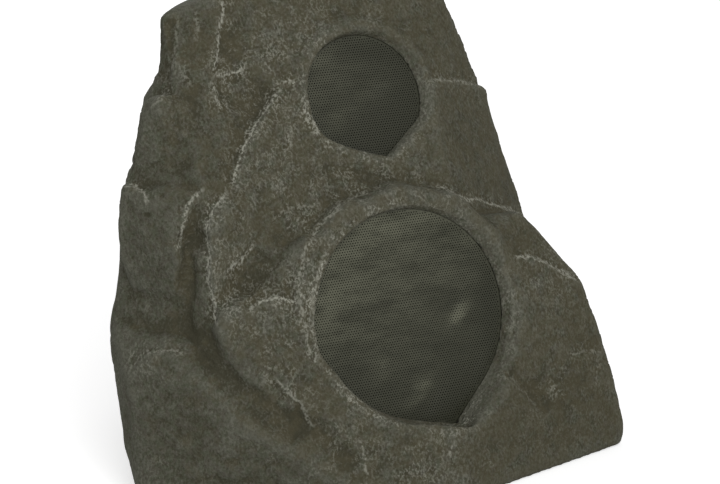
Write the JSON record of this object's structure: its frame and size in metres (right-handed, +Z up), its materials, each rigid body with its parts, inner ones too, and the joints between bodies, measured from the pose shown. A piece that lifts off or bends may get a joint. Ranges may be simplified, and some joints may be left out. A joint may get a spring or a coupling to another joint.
{
  "type": "rock shaped garden speaker",
  "caption": "Hollow moulded stone shell with a woofer and a tweeter behind round perforated grilles, closed by a screwed base plate, standing outdoors as a loudspeaker.",
  "frame": {"origin": "middle of the overall plan size, on the ground plane under the base plate", "axes": "+X is the rock's width, to the right of a listener's view; -Y is the front, where both grilles face; +Z is up; the rock is widest along X"},
  "size_m": [0.361, 0.282, 0.352],
  "materials": {
    "rock": "rough cast stone, dry-brushed",
    "grille_metal": "satin paint",
    "painted_steel": "satin black paint",
    "steel": "zinc plated",
    "black_plastic": "fine grain",
    "rubber_seal": "matt",
    "rubber_surround": "smooth",
    "cone_plastic": "satin",
    "copper_wire": "enamelled copper",
    "spider_cloth": "woven, resin dipped",
    "dome_silk": "coated silk",
    "ferrite": "pressed, dull",
    "circuit_board": "solder mask",
    "capacitor_film": "glossy wrap",
    "resistor_ceramic": "unglazed",
    "lead_jacket": "smooth jacket"
  },
  "bodies": {
    "rock": {"rock_shell": "rock", "base_plate": "black_plastic", "base_gasket": "rubber_seal", "base_screws": "steel", "woofer_grille": "grille_metal", "tweeter_grille": "grille_metal", "woofer_basket": "painted_steel", "woofer_gasket": "rubber_seal", "woofer_screws": "steel", "woofer_surround": "rubber_surround", "woofer_spider": "spider_cloth", "woofer_top_plate": "steel", "woofer_magnet": "ferrite", "woofer_yoke": "steel", "woofer_terminal": "black_plastic", "tweeter_faceplate": "black_plastic", "tweeter_dome": "dome_silk", "tweeter_magnet": "ferrite", "tweeter_yoke": "steel", "tweeter_gasket": "rubber_seal", "tweeter_screws": "steel", "crossover_board": "circuit_board", "crossover_choke": "copper_wire", "crossover_capacitors": "capacitor_film", "crossover_resistor": "resistor_ceramic", "crossover_screws": "steel", "input_terminal": "black_plastic", "woofer_lead": "lead_jacket", "tweeter_lead": "lead_jacket", "gland_body": "black_plastic", "gland_nut": "black_plastic", "gland_seal": "rubber_seal", "gland_locknut": "black_plastic"},
    "cone_assembly": {"woofer_cone": "cone_plastic", "woofer_dust_cap": "cone_plastic", "woofer_voice_coil": "copper_wire"}
  },
  "joints": [
    {"name": "woofer_cone_slide", "type": "slide", "parent": "rock", "child": "cone_assembly", "axis": [0, -0.9703, 0.2419], "range_m": [-0.004, 0.004], "stiffness_N_per_m": 1250, "deforming": ["woofer_surround", "woofer_spider"]}
  ]
}
